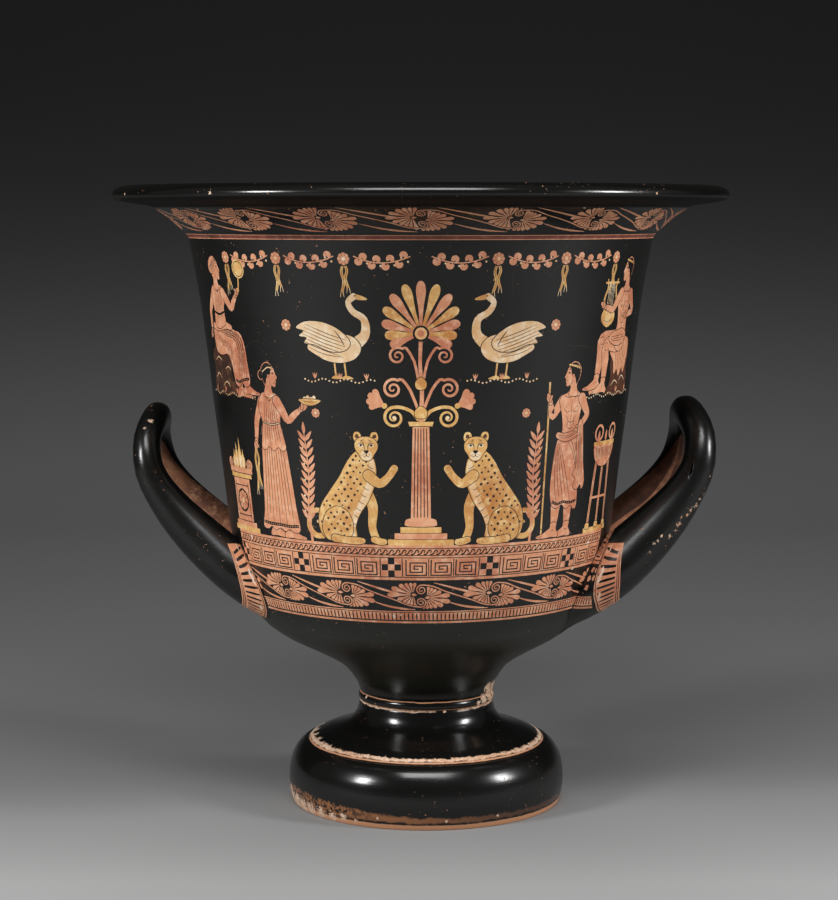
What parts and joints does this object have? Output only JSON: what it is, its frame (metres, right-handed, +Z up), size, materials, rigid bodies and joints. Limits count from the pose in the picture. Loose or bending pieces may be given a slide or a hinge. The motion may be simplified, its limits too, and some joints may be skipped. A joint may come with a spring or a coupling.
{
  "type": "calyx krater",
  "caption": "Greek red-figure calyx krater: hollow terracotta mixing bowl with a flaring wall, heavy lip, two upturned handles and a ringed, spreading foot.",
  "frame": {"origin": "under the middle of the mouth, at the level that the foot stands on", "axes": "+Z up along the axis of the bowl; the painted front faces -Y; the handles are at -X and +X"},
  "size_m": [0.5, 0.5, 0.507],
  "materials": {
    "black_gloss": "glossy black slip on orange clay"
  },
  "bodies": {
    "root": {"krater": "black_gloss"}
  },
  "joints": []
}
